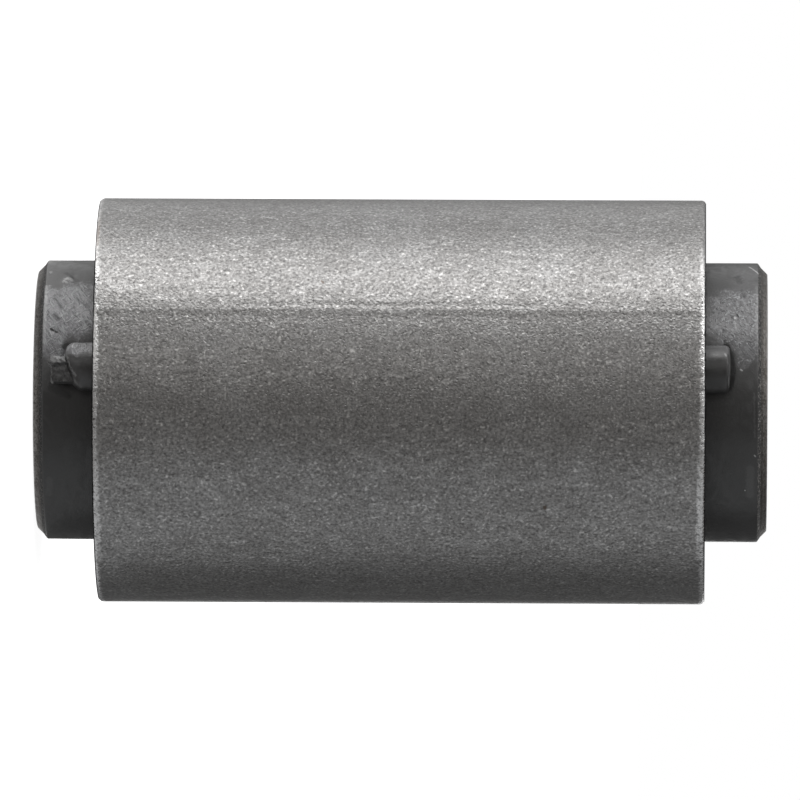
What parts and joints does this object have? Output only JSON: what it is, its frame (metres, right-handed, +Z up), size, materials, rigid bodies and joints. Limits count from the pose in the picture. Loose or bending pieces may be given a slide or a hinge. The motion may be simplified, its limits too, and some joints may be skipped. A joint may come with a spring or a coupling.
{
  "type": "rubber metal bush",
  "caption": "Bonded bush: an outer steel tube and a longer inner steel sleeve with a through bore, joined by moulded rubber that coats the inner sleeve's ends.",
  "frame": {"origin": "centre of the lower end face of the inner sleeve, on the bore axis", "axes": "+Z up along the bore axis; the moulding nubs and the outer sleeve's weld are on the -Y side, and the lower nub carries the torn gate"},
  "size_m": [0.057, 0.057, 0.1028],
  "materials": {
    "blasted_steel": "blasted welded tube, matt grey, grainy, worn bright along both rims",
    "machined_steel": "turned steel, darkened, with fine turning lines",
    "moulded_rubber": "smooth satin black rubber with mould smears"
  },
  "bodies": {
    "root": {"outer_sleeve": "blasted_steel", "inner_sleeve": "machined_steel", "rubber_body": "moulded_rubber"}
  },
  "joints": []
}
